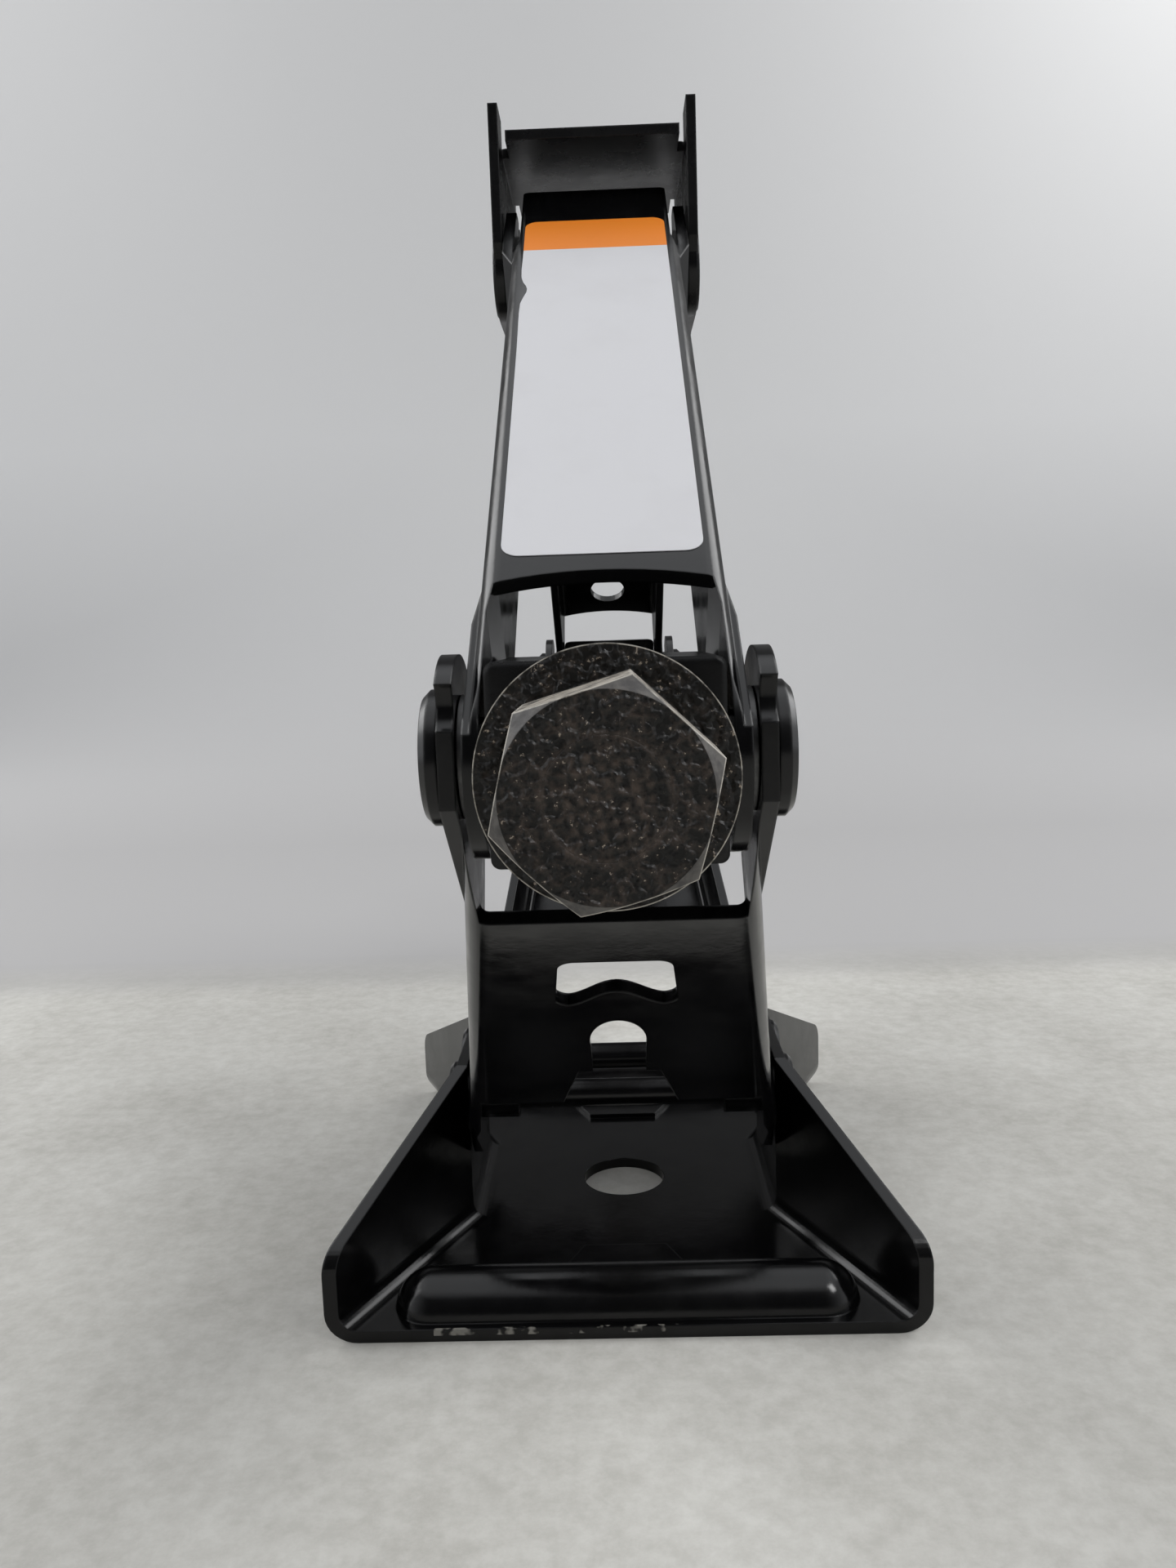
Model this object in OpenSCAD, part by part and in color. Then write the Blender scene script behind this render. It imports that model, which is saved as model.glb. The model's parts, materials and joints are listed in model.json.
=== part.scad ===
// Scissor jack: four pressed arms, gear-tooth arm ends, screw across the middle.
// Origin on the ground under the centre of the base, +Z up, drive head towards -Y.

/* [Linkage] */
// distance between the two pivots of an arm
arm_l = 145; // [130:1:170]
// angle of the lower arms above the ground in the drawn pose
rest_angle = 39.4; // [25:0.1:60]
// half the distance between the two geared pivots
pivot_half = 12; // [11:0.5:14]
// height of the base pivots above the ground
base_pivot_z = 29.3; // [27:0.1:34]
// radius of every pivot pin
pin_r = 5.2; // [4:0.1:6]
// radial play of an arm on its pin
pin_play = 0.06; // [0.02:0.01:0.1]
// radial play of the one pivot where the linkage is left open
open_play = 0.3; // [0.2:0.05:0.5]

/* [Arm sheet] */
// sheet thickness of the arms
arm_sheet = 2.2; // [1.8:0.1:2.6]
// distance of the outer web face from the pivot line
web_v = 14.1; // [13:0.1:16]
// distance of the inner flange edge from the pivot line
flange_v = 11; // [10:0.1:12]
// outer bend radius between web and flange of the upper arms
bend_r = 2.8; // [2.3:0.1:4]
// outer bend radius between web and flange of the lower arms
lower_bend_r = 3.7; // [2.8:0.1:4]
// end radius of the rounded pads
pad_r = 13.5; // [12:0.1:14]
// clearance between the teeth and the plain end of the pad
end_relief = 0.6; // [0.3:0.1:1]

/* [Gear ends] */
// number of teeth a full gear would have
gear_teeth = 12; // [11:1:14]
// pressure angle of the teeth
pressure_angle = 25; // [24:1:27]
// play between the meshing flanks
tooth_play = 0.4; // [0.3:0.05:0.6]
// teeth cut on the first flange
teeth_a = 5; // [5:1:5]
// local angle of the middle tooth on the first flange
tooth_angle = -40; // [-45:1:-35]
// first angle of the toothed sector
sector_from = -125; // [-128:1:-122]
// last angle of the toothed sector
sector_to = 35; // [33:1:40]

/* [Lower arms] */
// half width over the pads at the screw end
lower_top_x = 21.2; // [20.5:0.1:23]
// half width over the web just before the base pads
lower_low_x = 33; // [30:0.1:33]
// half width over the pads at the base end
lower_pad_x = 34.6; // [34:0.1:37]
// start of the web, from the screw pivot
lower_web_from = 22; // [20:0.5:26]
// end of the web
lower_web_to = 106; // [102:0.5:124]
// length of each joggle in the flanges
joggle_l = 6; // [4:0.5:8]
// straight part of the base pads before the pivot
base_pad_run = 11; // [8:0.5:12]
// window: start from the screw pivot
window_from = 36; // [34:0.5:40]
// window: length along the arm
window_l = 17.5; // [14:0.5:20]
// window: half width at the top
window_x = 8.9; // [7:0.1:11]
// window: growth of the half width towards the base
window_flare = 1; // [0:0.1:2]
// window: corner radius
window_r = 2.6; // [1:0.1:3]
// window: height of the rounded hump in its lower edge
hump_l = 5.6; // [3:0.1:8]
// window: half width of the hump at its foot
hump_x = 8.4; // [6:0.1:8.8]
// slot: start from the screw pivot
slot_from = 60.8; // [58:0.1:64]
// slot: half width
slot_x = 5; // [4:0.1:6]
// slot: length of its domed top
dome_l = 10; // [5:0.5:12]
// slot: length of the parallel part with its domed top
slot_l = 26.5; // [22:0.5:30]
// opening below the slot: half width at its top
bell_top_x = 7.7; // [6:0.1:9]
// opening below the slot: half width at the web end
bell_low_x = 11.5; // [10:0.1:18]
// notched pad corner: distance in front of the pivot
nose_x = 9.4; // [8.5:0.1:10.5]
// notched pad corner: height above the pivot
nose_up = 4.2; // [3:0.1:5]
// notched pad corner: straight edge below the pivot
nose_down = 6; // [4:0.1:7]
// notched pad corner: angle of its edge against the arm
nose_angle = 50.6; // [48:0.1:53]
// notched pad corner: radius of the scoop above it
scoop_r = 3.7; // [3:0.1:4.5]

/* [Upper arms] */
// half width over the flanges
upper_x = 16.6; // [15:0.1:17]
// half width over the pads at the screw end
upper_top_x = 17.6; // [16.5:0.1:18]
// half width over the pads at the saddle end
upper_pad_x = 18.8; // [18:0.1:20]
// start of the web in its middle, from the screw pivot
upper_web_from = 20.8; // [20:0.1:24]
// depth of the hollow arc in the lower web edge
upper_arc = 2.2; // [1:0.1:3]
// how far the web reaches past the saddle pivot
tongue_past = 9.4; // [5:0.1:10]
// half width of the web tongue at the saddle end
tongue_x = 15; // [12:0.1:15]
// where the flanges leave the web, before the saddle pivot
tongue_l = 20; // [16:0.5:26]
// hole in the rear web: distance from the screw pivot
web_hole_t = 31; // [29:0.5:40]
// hole in the rear web: radius
web_hole_r = 5.4; // [3:0.1:7]

/* [Base] */
// half length of the base
base_y = 64; // [60:0.5:75]
// half width at the ends
base_x = 59.4; // [54:0.1:66]
// half width at the waist
waist_x = 37.8; // [37.5:0.1:42]
// half length of the waist
waist_y = 18; // [16:0.5:22]
// sheet thickness of the base
base_sheet = 2.5; // [2:0.1:3]
// outer bend radius between floor and walls
base_bend_r = 6; // [4:0.5:6.5]
// height of the wall at the ends
end_wall_z = 17.6; // [14:0.1:20]
// corner radius at the ends of the wall tops
end_corner_r = 6; // [2:0.5:8]
// height of the wall at the waist
waist_wall_z = 39; // [37:0.1:42]
// radius of the hole in the floor
floor_hole_r = 9.9; // [6:0.1:11]
// bead: distance from the middle of the base
bead_y = 54.5; // [52:0.5:56]
// bead: radius
bead_r = 7.6; // [6:0.1:8]
// bead: height of its axis
bead_z = 2; // [1:0.1:3]
// bead: half length over the rounded ends
bead_x = 47; // [38:0.5:47.2]
// raised panel: half width at the bead
panel_x = 18; // [12:0.5:24]
// raised panel: half width at its inner end
panel_end_x = 9; // [6:0.5:14]
// raised panel: inner end from the middle of the base
panel_y = 35; // [30:0.5:40]
// raised panel: height
panel_h = 1.2; // [0.8:0.1:1.5]

/* [Saddle] */
// sheet thickness of the saddle
saddle_sheet = 2; // [1.8:0.1:2.2]
// half width over the side plates
saddle_x = 21.2; // [21.2:0.1:24]
// half length of the side plates
saddle_y = 23; // [20:0.1:26]
// half length of the seat
seat_y = 23.2; // [20:0.1:26]
// height of the seat above its pivots
seat_rise = 25.8; // [24:0.1:29]
// height of the ears above the seat
ear_h = 5.4; // [3:0.1:7]
// length of the relief notch beside each ear
relief_l = 9; // [7:0.5:11]
// half width of the seat beside the ears
seat_x = 17.8; // [16:0.1:18]
// radius of the side plates around the pivots
saddle_r = 9; // [8:0.1:9.5]
// outer bend radius between seat and side plates
saddle_bend_r = 3; // [2.6:0.1:3.5]
// start of the rounded corner above the pivots
saddle_run = 4; // [2:0.5:8]

/* [Trunnions] */
// half width of the two cross blocks
block_x = 14.55; // [13:0.05:15]
// half depth of the blocks along the screw
block_y = 13.1; // [11:0.1:13.5]
// half height of the blocks
block_z = 12.6; // [11:0.1:13]
// edge radius of the blocks
block_edge = 1.2; // [0.6:0.1:2]
// head radius of the trunnion pins
pin_head_r = 9; // [7:0.1:11]
// head thickness of the trunnion pins
pin_head_h = 2.4; // [1.5:0.1:3]
// largest edge chamfer of the pin heads
head_edge = 0.9; // [0.2:0.1:1.2]
// clear distance between the screw and a pin end
pin_end_gap = 1.4; // [0.8:0.1:2]
// side play between neighbouring plates
side_play = 0.15; // [0.08:0.01:0.2]
// radius of the spacer washers
spacer_r = 8.2; // [7:0.1:10]
// head radius of the base and saddle pins
rivet_head_r = 8; // [6.5:0.1:9]
// head thickness of the base pins
rivet_head_h = 2.2; // [1:0.1:3]
// radius of the turned-down middle of the base pins
pin_waist_r = 3.2; // [2.5:0.1:5]
// half length of that middle
pin_waist_x = 24; // [10:0.5:28]
// head thickness of the saddle pins
flush_head_h = 0.5; // [0.4:0.1:1.5]

/* [Screw] */
// outer radius of the screw
screw_r = 7; // [6:0.1:7]
// radial play of the screw in the front block
screw_play = 0.08; // [0.03:0.01:0.1]
// radial play of the screw crests in the rear nut
nut_play = 0.1; // [0.05:0.01:0.1]
// screw length behind the front pivot
screw_l = 332; // [326:1:340]
// across flats of the drive head
hex_af = 21; // [17:0.5:24]
// length of the hexagon
hex_l = 15.4; // [12:0.1:20]
// radius of the flange behind the hexagon
flange_r = 14.64; // [13:0.01:16]
// thickness of the flange
flange_h = 3.4; // [2.5:0.1:4]
// turn of the hexagon about the screw
hex_turn = 16.4; // [0:0.1:30]
// chamfer of the hexagon corners along the screw
hex_edge = 1.6; // [0.5:0.1:3]
// radius of the screw end inside the head
spigot_r = 6.2; // [5:0.1:6.5]
// distance from the block to the front of the flange
stack_l = 14.7; // [12:0.1:18]
// outer radius of the thrust bearing
bearing_r = 14; // [12:0.1:14.5]
// thickness of each bearing race
race_h = 2.8; // [2:0.1:3.2]
// ball radius
ball_r = 2.3; // [1.8:0.1:2.5]
// number of balls
ball_count = 11; // [8:1:12]
// thickness of the ball cage
cage_h = 1.6; // [1:0.1:2]
// depth of the grooves in the races
groove_h = 0.5; // [0.3:0.1:0.8]
// radial play of the balls in the grooves and in the cage
ball_play = 0.1; // [0.05:0.01:0.2]
// radial play of the bearing rings on the screw
ring_play = 0.25; // [0.1:0.05:0.4]
// outer radius of the collar and of the end stop
collar_r = 10.5; // [9:0.1:12]
// thickness of the collar
collar_h = 6; // [4:0.5:8]
// gap between the collar and the front block
collar_gap = 0.4; // [0.3:0.1:1]
// thickness of the end stop
stop_h = 5; // [3:0.5:8]

/* [Hidden] */
$fn = 96;
big = arm_l;
half = 1 / 2;
trunnion_y = pivot_half + arm_l * cos(rest_angle);
trunnion_z = base_pivot_z + arm_l * sin(rest_angle);
saddle_pivot_z = base_pivot_z + 2 * arm_l * sin(rest_angle);
seat_z = saddle_pivot_z + seat_rise;
gear_r = pivot_half;
gear_module = 2 * gear_r / gear_teeth;
gear_tip_r = gear_r + gear_module;
gear_root_r = gear_r - gear_module * 5 / 4;
gear_base_r = gear_r * cos(pressure_angle);
tooth_pitch = 360 / gear_teeth;
deg = 180 / PI;
function inv(a) = tan(a) * deg - a;
pitch_half_angle = (tooth_pitch / 2 - tooth_play / 2 / gear_r * deg) / 2;
function flank(r) = pitch_half_angle + inv(pressure_angle) - inv(acos(min(gear_base_r / r, 1)));
flank_steps = 5;
flank_radii = [for (i = [0:flank_steps])
  gear_base_r + (gear_tip_r - gear_base_r) * i / flank_steps];
flare_angle = atan2(base_x - waist_x, base_y - waist_y);
bend_steps = 8;
outline_steps = 20;
edge_share = 0.5;
head_front_y = -trunnion_y - block_y - stack_l - hex_l;
flange_front_y = head_front_y + hex_l;
flange_back_y = flange_front_y + flange_h;
ball_gap = 2 * ball_r - 2 * groove_h;
bearing_l = 2 * race_h + ball_gap;
washer_h = stack_l - flange_h - bearing_l;
ball_track_r = (bearing_r + screw_r) / 2;
screw_tail_y = -trunnion_y + screw_l;
arc_r = (tongue_x * tongue_x + upper_arc * upper_arc) / (2 * upper_arc);
trunnion_pin_in = screw_r + pin_end_gap;
scoop_back_share = 0.82;
scoop_out_share = 0.57;
spacer_h = lower_top_x - arm_sheet - upper_top_x - 2 * side_play;

// Placing.

// Along the front lower arm: Y runs from the screw pivot to the base, Z points outward.
module on_lower_front() {
  translate([0, -trunnion_y, trunnion_z])
    rotate([-rest_angle, 0, 0])
      mirror([0, 0, 1])
        children();
}

// Along the front upper arm: Y runs from the screw pivot to the saddle, Z points outward.
module on_upper_front() {
  translate([0, -trunnion_y, trunnion_z])
    rotate([rest_angle, 0, 0])
      children();
}

// The same things at the far side.
module rear() {
  rotate([0, 0, 180])
    children();
}

// A (length, height) outline made thick along X.
module across(w) {
  rotate([90, 0, 90])
    linear_extrude(height = w, center = true)
      children();
}

// A round bar along X between two places.
module bar_x(r, x0, x1) {
  translate([x0, 0, 0])
    rotate([0, 90, 0])
      cylinder(r = r, h = x1 - x0);
}

// A round bar along Y between two places.
module bar_y(r, y0, y1) {
  translate([0, y0, 0])
    rotate([-90, 0, 0])
      cylinder(r = r, h = y1 - y0);
}

// Gear teeth.

// One tooth from the centre of the gear: radial below the base circle, involute above it.
module tooth() {
  polygon(concat(
    [[0, 0]],
    [for (r = flank_radii) r * [cos(flank(r)), -sin(flank(r))]],
    [for (i = [0:flank_steps]) let (r = flank_radii[flank_steps - i])
      r * [cos(flank(r)), sin(flank(r))]]));
}

// One toothed arm end. shift moves the teeth by half a pitch on the other flange.
module gear_end(shift) {
  translate([arm_l, 0]) {
    circle(r = gear_root_r);
    for (k = [0:teeth_a - 1])
      rotate(tooth_angle + (2 - k) * tooth_pitch - shift * tooth_pitch / 2)
        tooth();
  }
}

// The sector that the teeth need, taken out of an arm end.
module gear_sector() {
  mid = (sector_from + sector_to) / 2;
  translate([arm_l, 0])
    polygon([[0, 0], big * [cos(sector_from), sin(sector_from)] / 2,
      big * [cos(mid), sin(mid)], big * [cos(sector_to), sin(sector_to)] / 2]);
}

// Arms.

// Plan outline of both flanges from a list of (half width, place along the arm).
module flange_strip(side, line) {
  n = len(line);
  mirror([side < 0 ? 1 : 0, 0])
    polygon(concat(line, [for (i = [0:n - 1]) line[n - 1 - i] - [arm_sheet, 0]]));
}

// One flange: the plan strip cut to the side outline given as child.
module flange(side, line, pin_top, pin_low) {
  difference() {
    intersection() {
      translate([0, 0, -big / 2])
        linear_extrude(height = big)
          flange_strip(side, line);
      across(big)
        children();
    }
    bar_x(pin_top, -big, big);
    translate([0, arm_l, 0])
      bar_x(pin_low, -big, big);
  }
}

// Rounds the outer edge of a bend that runs from one plan point to another.
module bend_cut(r, from, to) {
  run = norm(to - from);
  translate([from[0], from[1], 0])
    rotate([0, 0, -atan2(to[0] - from[0], to[1] - from[1])])
      translate([-r, 0, -r])
        difference() {
          translate([0, -run, 0])
            cube([2 * r, 3 * run, 2 * r]);
          translate([0, -2 * run, 0])
            rotate([-90, 0, 0])
              cylinder(r = r, h = 5 * run);
        }
}

module bend_cuts(r, from, to) {
  for (side = [0, 1])
    mirror([side, 0, 0])
      bend_cut(r, from, to);
}

lower_from = [lower_top_x, lower_web_from];
lower_to = [lower_low_x, arm_l - base_pad_run - joggle_l];
lower_line = [[lower_top_x, -big], lower_from, lower_to,
  [lower_pad_x, arm_l - base_pad_run], [lower_pad_x, 2 * big]];

module lower_outline(shift) {
  difference() {
    union() {
      lower_top_pad();
      polygon([nose_low(), [lower_web_from, web_v], [lower_web_to, web_v],
        [arm_l, pad_r - end_relief], [arm_l, -flange_v], [0, -flange_v]]);
      translate([arm_l, 0])
        circle(r = pad_r - end_relief);
    }
    gear_sector();
  }
  gear_end(shift);
}

// Where the straight nose edge ends, in arm coordinates.
function nose_low() = [nose_down * cos(nose_angle) - nose_x * sin(nose_angle),
  nose_down * sin(nose_angle) + nose_x * cos(nose_angle)];

// The rounded pad at the screw end, with the nose and the scoop above it.
module lower_top_pad() {
  rotate(nose_angle)
    difference() {
      circle(r = pad_r);
      translate([-nose_up - scoop_r, nose_x])
        square([2 * pad_r, pad_r]);
      translate([-nose_up - scoop_back_share * scoop_r, nose_x + scoop_out_share * scoop_r])
        circle(r = scoop_r);
    }
}

module lower_openings() {
  window_x2 = window_x + window_flare;
  window_to = window_from + window_l;
  difference() {
    union() {
      for (s = [-1, 1]) {
        translate([s * (window_x - window_r), window_from + window_r])
          circle(r = window_r);
        translate([s * (window_x2 - window_r), window_to - window_r])
          circle(r = window_r);
        polygon([[0, window_from], [s * (window_x - window_r), window_from],
          [s * window_x, window_from + window_r], [s * window_x2, window_to - window_r],
          [s * (window_x2 - window_r), window_to], [0, window_to]]);
      }
    }
    polygon(concat([[hump_x, window_to + hump_l], [-hump_x, window_to + hump_l]],
      [for (i = [0:outline_steps]) let (x = -hump_x + i * 2 * hump_x / outline_steps)
        [x, window_to - hump_l * (1 + cos(180 * x / hump_x)) / 2]]));
  }
  polygon(concat(
    [for (i = [0:outline_steps]) let (a = i * 180 / outline_steps)
      [slot_x * cos(a), slot_from + dome_l - dome_l * sin(a)]],
    [[-slot_x, slot_from + slot_l], [slot_x, slot_from + slot_l]]));
  polygon([[-bell_top_x, slot_from + slot_l], [bell_top_x, slot_from + slot_l],
    [bell_low_x, lower_web_to], [bell_low_x, arm_l], [-bell_low_x, arm_l],
    [-bell_low_x, lower_web_to]]);
}

module lower_web() {
  n = len(lower_line);
  translate([0, 0, web_v - arm_sheet])
    linear_extrude(height = arm_sheet)
      difference() {
        intersection() {
          polygon(concat(lower_line, [for (i = [0:n - 1])
            [-lower_line[n - 1 - i][0], lower_line[n - 1 - i][1]]]));
          translate([-big, lower_web_from])
            square([2 * big, lower_web_to - lower_web_from]);
        }
        lower_openings();
      }
}

// Fills the inner corner of both bends of a lower arm with a round of few flat faces.
module lower_fillets() {
  r = lower_bend_r - arm_sheet;
  run = norm(lower_to - lower_from);
  intersection() {
    for (side = [0, 1])
      mirror([side, 0, 0])
        translate([lower_from[0], lower_from[1], web_v])
          rotate([0, 0, -atan2(lower_to[0] - lower_from[0], lower_to[1] - lower_from[1])])
            rotate([90, 0, 0])
              linear_extrude(height = 3 * run, center = true)
                polygon(concat([[-arm_sheet / 2, -arm_sheet / 2]],
                  [[-lower_bend_r, -arm_sheet / 2]],
                  [for (i = [0:bend_steps]) let (a = i * 90 / bend_steps)
                    [-lower_bend_r, -lower_bend_r] + r * [sin(a), cos(a)]],
                  [[-arm_sheet / 2, -lower_bend_r]]));
    translate([-big, lower_web_from, 0])
      cube([2 * big, lower_web_to - lower_web_from, big]);
  }
}

module lower_arm() {
  difference() {
    union() {
      for (side = [-1, 1])
        flange(side, lower_line, pin_r + pin_play, pin_r + pin_play)
          lower_outline(side < 0 ? 0 : 1);
      lower_web();
      lower_fillets();
    }
    translate([0, 0, web_v])
      bend_cuts(lower_bend_r, lower_from, lower_to);
  }
}

upper_joggle_to = arm_l - pad_r;
upper_from = [upper_x, upper_web_from];
upper_to = [upper_x, upper_joggle_to - joggle_l];
upper_line = [[upper_top_x, -big], [upper_top_x, pad_r], upper_from, upper_to,
  [upper_pad_x, upper_joggle_to], [upper_pad_x, 2 * big]];

module upper_outline(shift) {
  difference() {
    union() {
      circle(r = pad_r);
      polygon([[0, pad_r], [upper_web_from - upper_arc, web_v], [arm_l - tongue_l, web_v],
        [arm_l - tongue_l + joggle_l, pad_r - arm_sheet], [arm_l, pad_r - end_relief],
        [arm_l, -flange_v], [0, -flange_v]]);
      translate([arm_l, 0])
        circle(r = pad_r - end_relief);
    }
    gear_sector();
  }
  gear_end(shift);
}

// hole_r above 0 adds the round hole near the lower web edge.
module upper_web(hole_r) {
  translate([0, 0, web_v - arm_sheet])
    linear_extrude(height = arm_sheet)
      difference() {
        union() {
          translate([-upper_x, upper_web_from - upper_arc])
            square([2 * upper_x, arm_l - tongue_l - upper_web_from + upper_arc]);
          polygon([[-upper_x, arm_l - tongue_l], [upper_x, arm_l - tongue_l],
            [tongue_x, arm_l - tongue_l + joggle_l], [tongue_x, arm_l + tongue_past],
            [-tongue_x, arm_l + tongue_past], [-tongue_x, arm_l - tongue_l + joggle_l]]);
        }
        translate([0, upper_web_from - arc_r])
          circle(r = arc_r);
        if (hole_r > 0)
          translate([0, web_hole_t])
            circle(r = hole_r);
      }
}

module upper_arm(hole_r, saddle_play) {
  difference() {
    union() {
      for (side = [-1, 1])
        flange(side, upper_line, pin_r + pin_play, pin_r + saddle_play)
          upper_outline(side < 0 ? 0 : 1);
      upper_web(hole_r);
    }
    translate([0, 0, web_v])
      bend_cuts(bend_r, upper_from, upper_to);
  }
}

module front_lower_arm() {
  color("DimGray")
    on_lower_front()
      lower_arm();
}

module rear_lower_arm() {
  color("DimGray")
    rear()
      on_lower_front()
        lower_arm();
}

module front_upper_arm() {
  color("DimGray")
    on_upper_front()
      upper_arm(0, pin_play);
}

module rear_upper_arm() {
  color("DimGray")
    rear()
      on_upper_front()
        upper_arm(web_hole_r, open_play);
}

// Base.

// Cross section of a side wall with its bend, outer face at 0.
module wall_section() {
  translate([-base_sheet, base_bend_r])
    square([base_sheet, waist_wall_z]);
  intersection() {
    translate([-base_bend_r, base_bend_r])
      difference() {
        circle(r = base_bend_r);
        circle(r = base_bend_r - base_sheet);
      }
    translate([-base_bend_r, 0])
      square([base_bend_r, base_bend_r]);
  }
}

// Solid between two side walls, drawn inwards by inset, bends rounded to r.
module tray_half(y, angle, inset, r) {
  intersection_for (side = [0, 1])
    mirror([side, 0, 0])
      translate([waist_x, y, 0])
        rotate([0, 0, angle])
          translate([-inset, 0, inset])
            rotate([90, 0, 0])
              linear_extrude(height = 4 * big, center = true)
                polygon(concat([[0, big], [-big, big], [-big, 0]],
                  [for (i = [0:bend_steps]) [-r, r] + r * [sin(i * 90 / bend_steps),
                    -cos(i * 90 / bend_steps)]]));
}

module tray_body(inset, r) {
  reach = waist_y + base_bend_r;
  intersection() {
    tray_half(0, 0, inset, r);
    translate([-big, -reach, -big])
      cube([2 * big, 2 * reach, 2 * big]);
  }
  for (turn = [0, 180])
    rotate([0, 0, turn])
      intersection() {
        tray_half(-waist_y, flare_angle, inset, r);
        translate([-big, -big, -big])
          cube([2 * big, big - waist_y / 2, 2 * big]);
      }
}

// Side view of the walls, with the upper end corners rounded in a few straight steps.
module wall_outline() {
  slope = atan2(waist_wall_z - end_wall_z, base_y - waist_y);
  centre = [end_corner_r - base_y, end_wall_z - end_corner_r * tan((90 - slope) / 2)];
  corner = [for (i = [0:bend_steps]) let (a = 180 - i * (90 - slope) / bend_steps)
    centre + end_corner_r * [cos(a), sin(a)]];
  n = len(corner);
  polygon(concat([[-base_y, 0]], corner, [[-waist_y, waist_wall_z], [waist_y, waist_wall_z]],
    [for (i = [0:n - 1]) [-corner[n - 1 - i][0], corner[n - 1 - i][1]]], [[base_y, 0]]));
}

module bead(inset) {
  r = bead_r - inset;
  run = bead_x - bead_r;
  translate([0, 0, bead_z]) {
    bar_x(r, -run, run);
    for (s = [-1, 1])
      translate([s * run, 0, 0])
        sphere(r = r);
  }
}

module panel(lift) {
  translate([0, 0, lift])
    linear_extrude(height = base_sheet + panel_h - lift - (lift < 0 ? base_sheet : 0))
      polygon([[-panel_x, -bead_y], [panel_x, -bead_y], [panel_end_x, -panel_y],
        [-panel_end_x, -panel_y]]);
}

module base_plate() {
  color("DimGray")
    difference() {
      union() {
        intersection() {
          difference() {
            tray_body(0, base_bend_r);
            tray_body(base_sheet, base_bend_r - base_sheet);
          }
          across(big)
            wall_outline();
        }
        for (turn = [0, 180])
          rotate([0, 0, turn]) {
            intersection() {
              translate([0, -bead_y, 0])
                bead(0);
              translate([-big, -big, 0])
                cube([2 * big, big, big]);
            }
            panel(base_sheet / 2);
          }
      }
      for (turn = [0, 180])
        rotate([0, 0, turn]) {
          translate([0, -bead_y, 0])
            bead(base_sheet);
          panel(-base_sheet);
        }
      translate([0, 0, -base_sheet])
        cylinder(r = floor_hole_r, h = 3 * base_sheet);
      for (s = [-1, 1])
        translate([0, s * pivot_half, base_pivot_z])
          bar_x(pin_r, -big, big);
    }
}

// A round head with a chamfered outer edge, growing along X.
module head_x(r, h) {
  edge = min(head_edge, h * edge_share);
  rotate([0, 90, 0]) {
    cylinder(r = r, h = h - edge);
    translate([0, 0, h - edge])
      cylinder(r1 = r, r2 = r - edge, h = edge);
  }
}

// A through pin with a formed head at both ends.
module through_pin(half_w, head_r, head_h) {
  bar_x(pin_r, -half_w, half_w);
  for (side = [0, 1])
    mirror([side, 0, 0])
      translate([half_w, 0, 0])
        head_x(head_r, head_h);
}

// A pin of the base: full size in the arms, turned down between them.
module base_pin() {
  difference() {
    through_pin(waist_x, rivet_head_r, rivet_head_h);
    difference() {
      bar_x(2 * pin_r, -pin_waist_x, pin_waist_x);
      bar_x(pin_waist_r, -big, big);
    }
  }
}

module base_pin_front() {
  color("Silver")
    translate([0, -pivot_half, base_pivot_z])
      base_pin();
}

module base_pin_rear() {
  color("Silver")
    translate([0, pivot_half, base_pivot_z])
      base_pin();
}

// Saddle.

module saddle_plate_outline() {
  top = seat_z + ear_h;
  polygon([[-saddle_y, top], [-saddle_y + relief_l, top], [-saddle_y + relief_l, seat_z],
    [saddle_y - relief_l, seat_z], [saddle_y - relief_l, top], [saddle_y, top],
    [saddle_y, saddle_pivot_z + saddle_run], [pivot_half, saddle_pivot_z - saddle_r],
    [-pivot_half, saddle_pivot_z - saddle_r], [-saddle_y, saddle_pivot_z + saddle_run]]);
  for (s = [-1, 1])
    translate([s * pivot_half, saddle_pivot_z])
      circle(r = saddle_r);
}

module saddle() {
  seat_in = saddle_y - relief_l;
  color("DimGray")
    difference() {
      union() {
        for (side = [-1, 1])
          translate([side * (saddle_x - saddle_sheet / 2), 0, 0])
            across(saddle_sheet)
              saddle_plate_outline();
        translate([-seat_x, -seat_y, seat_z - saddle_sheet])
          cube([2 * seat_x, 2 * seat_y, saddle_sheet]);
        translate([-saddle_x, -seat_in, seat_z - saddle_sheet])
          cube([2 * saddle_x, 2 * seat_in, saddle_sheet]);
      }
      intersection() {
        translate([0, 0, seat_z])
          bend_cuts(saddle_bend_r, [saddle_x, -seat_in], [saddle_x, seat_in]);
        translate([-big, -seat_in, 0])
          cube([2 * big, 2 * seat_in, 2 * big + seat_z]);
      }
      for (s = [-1, 1])
        translate([0, s * pivot_half, saddle_pivot_z])
          bar_x(pin_r, -big, big);
    }
}

module saddle_pin_front() {
  color("Silver")
    translate([0, -pivot_half, saddle_pivot_z])
      through_pin(saddle_x, rivet_head_r, flush_head_h);
}

module saddle_pin_rear() {
  color("Silver")
    translate([0, pivot_half, saddle_pivot_z])
      through_pin(saddle_x, rivet_head_r, flush_head_h);
}

// Trunnions.

module block(bore_r) {
  difference() {
    intersection() {
      translate([-block_x, -block_y, -block_z])
        cube([2 * block_x, 2 * block_y, 2 * block_z]);
      rotate([90, 0, 0])
        linear_extrude(height = big, center = true)
          rounded(block_x, block_z);
    }
    bar_y(bore_r, -big, big);
    bar_x(pin_r, -big, big);
  }
}

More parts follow.
